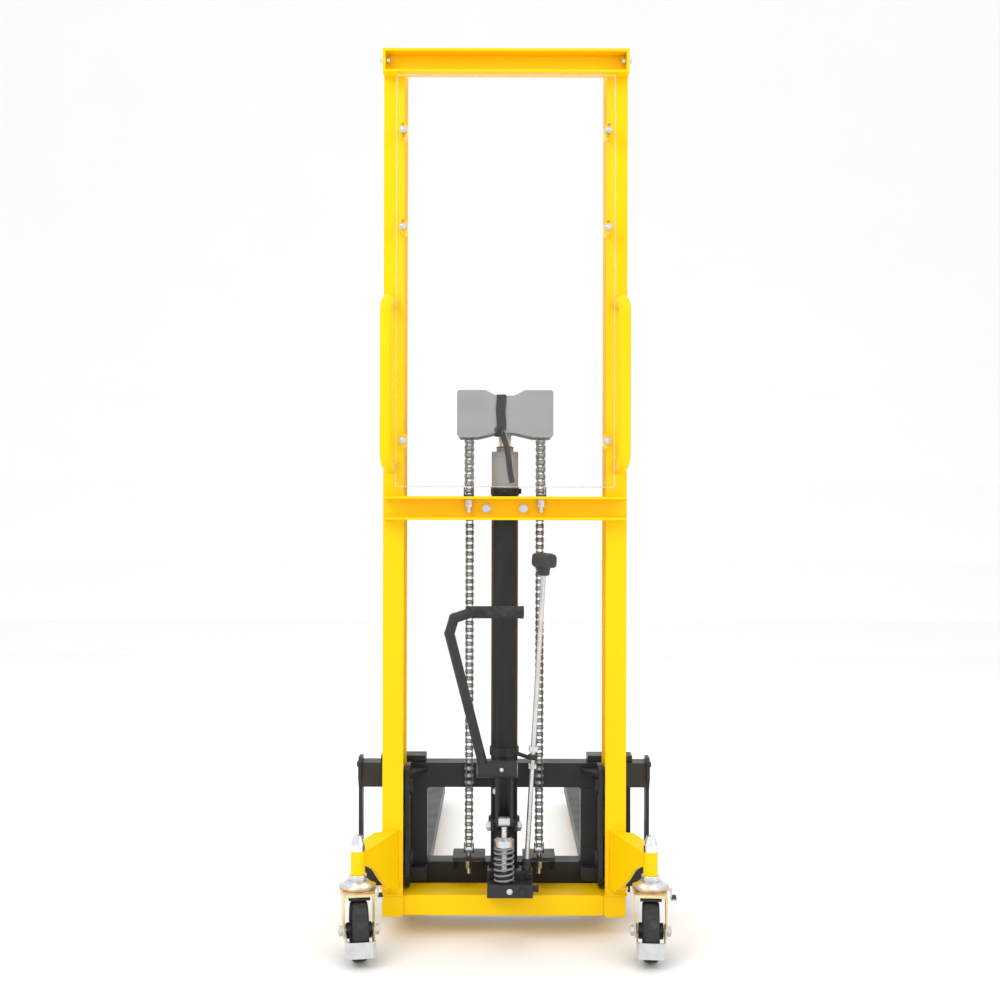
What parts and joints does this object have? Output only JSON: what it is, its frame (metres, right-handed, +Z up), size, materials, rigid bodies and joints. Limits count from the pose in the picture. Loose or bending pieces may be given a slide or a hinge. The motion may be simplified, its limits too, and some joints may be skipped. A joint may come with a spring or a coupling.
{
  "type": "manual hydraulic hand stacker",
  "caption": "Foot-pumped mast stacker: channel mast, chain-hoisted fork carriage over straddle legs, clear guard, steering casters.",
  "frame": {"origin": "on the floor, on the mast symmetry plane, half way along the length of the machine", "axes": "+Z up the mast; +Y along the forks, away from the operator; +X to the right of an operator who faces the forks"},
  "size_m": [0.7309, 1.5837, 1.966],
  "materials": {
    "yellow_paint": "gloss powder coat",
    "black_paint": "satin",
    "zinc_steel": "bright zinc plate",
    "yellow_zinc": "yellow zinc plate",
    "chrome_steel": "polished",
    "grey_steel": "satin",
    "grey_plastic": "matte",
    "clear_guard": "clear polycarbonate",
    "webbing": "woven",
    "chain_steel": "oiled",
    "black_plastic": "matte",
    "tyre_rubber": "matte"
  },
  "bodies": {
    "mast": {"upright_left": "yellow_paint", "upright_right": "yellow_paint", "top_beam": "yellow_paint", "mid_beam": "yellow_paint", "base_beam": "yellow_paint", "leg_left": "yellow_paint", "leg_right": "yellow_paint", "caster_bracket_left": "yellow_paint", "caster_bracket_right": "yellow_paint", "kingpin_left": "chrome_steel", "kingpin_right": "chrome_steel", "grab_handle_left": "yellow_paint", "grab_handle_right": "yellow_paint", "guard_panel": "clear_guard", "frame_bolts": "zinc_steel", "lift_cylinder": "black_paint", "cylinder_gland": "grey_steel", "cylinder_clamp": "zinc_steel", "mast_chain_anchors": "zinc_steel", "pump_block": "black_paint", "pump_spring": "black_paint", "pedal_bracket": "black_paint", "rod_guide": "black_paint"},
    "ram": {"ram_rod": "chrome_steel", "head_yoke": "black_paint", "head_guard": "grey_plastic", "head_strap": "webbing", "lift_chain_left": "chain_steel", "lift_chain_right": "chain_steel"},
    "carriage": {"upper_bar": "black_paint", "lower_bar": "black_paint", "side_plate_left": "black_paint", "side_plate_right": "black_paint", "carriage_posts": "black_paint", "carriage_anchors": "zinc_steel"},
    "pedal": {"pedal_lever": "black_paint"},
    "pedal_roller": {"pedal_roller": "zinc_steel"},
    "plunger": {"pump_plunger": "zinc_steel"},
    "release": {"release_rod": "zinc_steel", "release_knob": "black_plastic"},
    "sheave_left": {"sheave_left": "zinc_steel"},
    "fork_left": {"fork_left": "black_paint"},
    "load_roller_left": {"load_roller_left": "black_plastic"},
    "caster_left": {"caster_fork_left": "yellow_zinc", "foot_guard_left": "zinc_steel"},
    "wheel_left": {"caster_hub_left": "black_plastic", "caster_tyre_left": "tyre_rubber"},
    "brake_left": {"brake_lever_left": "zinc_steel"},
    "mast_roller_low_left": {"mast_roller_low_left": "zinc_steel"},
    "mast_roller_high_left": {"mast_roller_high_left": "zinc_steel"},
    "sheave_right": {"sheave_right": "zinc_steel"},
    "fork_right": {"fork_right": "black_paint"},
    "load_roller_right": {"load_roller_right": "black_plastic"},
    "caster_right": {"caster_fork_right": "yellow_zinc", "foot_guard_right": "zinc_steel"},
    "wheel_right": {"caster_hub_right": "black_plastic", "caster_tyre_right": "tyre_rubber"},
    "brake_right": {"brake_lever_right": "zinc_steel"},
    "mast_roller_low_right": {"mast_roller_low_right": "zinc_steel"},
    "mast_roller_high_right": {"mast_roller_high_right": "zinc_steel"}
  },
  "joints": [
    {"name": "ram_lift", "type": "slide", "parent": "mast", "child": "ram", "axis": [0, 0, 1], "range_m": [0, 0.69], "deforming": ["lift_chain_left", "lift_chain_right"]},
    {"name": "carriage_lift", "type": "slide", "parent": "ram", "child": "carriage", "axis": [0, 0, 1], "range_m": [0, 0.69]},
    {"name": "sheave_left_spin", "type": "hinge", "parent": "ram", "child": "sheave_left", "pos_m": [-0.08, -0.5405, 1.153], "axis": [1, 0, 0], "range_deg": [-5, 800]},
    {"name": "mast_roller_low_left_spin", "type": "hinge", "parent": "carriage", "child": "mast_roller_low_left", "pos_m": [-0.2425, -0.5185, 0.165], "axis": [1, 0, 0], "range_deg": [-5, 1672]},
    {"name": "mast_roller_high_left_spin", "type": "hinge", "parent": "carriage", "child": "mast_roller_high_left", "pos_m": [-0.2425, -0.5185, 0.325], "axis": [1, 0, 0], "range_deg": [-1672, 5]},
    {"name": "fork_left_slide", "type": "slide", "parent": "carriage", "child": "fork_left", "axis": [1, 0, 0], "range_m": [-0.025, 0.001]},
    {"name": "load_roller_left_spin", "type": "hinge", "parent": "mast", "child": "load_roller_left", "pos_m": [-0.2465, 0.6855, 0.037], "axis": [1, 0, 0], "continuous": true},
    {"name": "caster_left_swivel", "type": "hinge", "parent": "mast", "child": "caster_left", "pos_m": [-0.314, -0.6845, 0.139], "axis": [0, 0, 1], "continuous": true},
    {"name": "wheel_left_spin", "type": "hinge", "parent": "caster_left", "child": "wheel_left", "pos_m": [-0.3074, -0.72192, 0.0625], "axis": [0.9848, 0.1736, 0], "continuous": true},
    {"name": "brake_left_press", "type": "hinge", "parent": "caster_left", "child": "brake_left", "pos_m": [-0.34991, -0.65935, 0.1315], "axis": [-0.1736, 0.9848, 0], "range_deg": [0, 5]},
    {"name": "sheave_right_spin", "type": "hinge", "parent": "ram", "child": "sheave_right", "pos_m": [0.08, -0.5405, 1.153], "axis": [1, 0, 0], "range_deg": [-5, 800]},
    {"name": "mast_roller_low_right_spin", "type": "hinge", "parent": "carriage", "child": "mast_roller_low_right", "pos_m": [0.2425, -0.5185, 0.165], "axis": [1, 0, 0], "range_deg": [-5, 1672]},
    {"name": "mast_roller_high_right_spin", "type": "hinge", "parent": "carriage", "child": "mast_roller_high_right", "pos_m": [0.2425, -0.5185, 0.325], "axis": [1, 0, 0], "range_deg": [-1672, 5]},
    {"name": "fork_right_slide", "type": "slide", "parent": "carriage", "child": "fork_right", "axis": [1, 0, 0], "range_m": [-0.013, 0.013]},
    {"name": "load_roller_right_spin", "type": "hinge", "parent": "mast", "child": "load_roller_right", "pos_m": [0.2465, 0.6855, 0.037], "axis": [1, 0, 0], "continuous": true},
    {"name": "caster_right_swivel", "type": "hinge", "parent": "mast", "child": "caster_right", "pos_m": [0.314, -0.6845, 0.139], "axis": [0, 0, 1], "continuous": true},
    {"name": "wheel_right_spin", "type": "hinge", "parent": "caster_right", "child": "wheel_right", "pos_m": [0.31069, -0.72236, 0.0625], "axis": [0.9962, -0.0872, 0], "continuous": true},
    {"name": "brake_right_press", "type": "hinge", "parent": "caster_right", "child": "brake_right", "pos_m": [0.28582, -0.65092, 0.1315], "axis": [0.0872, 0.9962, 0], "range_deg": [0, 5]},
    {"name": "pedal_swing", "type": "hinge", "parent": "mast", "child": "pedal", "pos_m": [0, -0.5815, 0.25], "axis": [1, 0, 0], "range_deg": [0, 50], "stiffness_Nm_per_rad": 7, "springref_deg": -91.67},
    {"name": "plunger_slide", "type": "slide", "parent": "mast", "child": "plunger", "axis": [0, 0, -1], "range_m": [0, 0.0385], "deforming": ["pump_spring"]},
    {"name": "pedal_roller_spin", "type": "hinge", "parent": "pedal", "child": "pedal_roller", "pos_m": [0, -0.6215, 0.27], "axis": [1, 0, 0], "continuous": true},
    {"name": "release_turn", "type": "hinge", "parent": "mast", "child": "release", "pos_m": [0.05, -0.5885, 0.17], "axis": [0.053, -0.0738, 0.9959], "range_deg": [-60, 60]}
  ],
  "couplings": [
    {"joint": "carriage_lift", "follows": "ram_lift", "ratio": 1},
    {"joint": "sheave_left_spin", "follows": "ram_lift", "rad_per_m": 19.708},
    {"joint": "mast_roller_low_left_spin", "follows": "ram_lift", "rad_per_m": 41.237},
    {"joint": "mast_roller_high_left_spin", "follows": "ram_lift", "rad_per_m": -41.237},
    {"joint": "sheave_right_spin", "follows": "ram_lift", "rad_per_m": 19.708},
    {"joint": "mast_roller_low_right_spin", "follows": "ram_lift", "rad_per_m": 41.237},
    {"joint": "mast_roller_high_right_spin", "follows": "ram_lift", "rad_per_m": -41.237},
    {"joint": "plunger_slide", "follows": "pedal_swing", "m_per_rad": 0.0436}
  ]
}
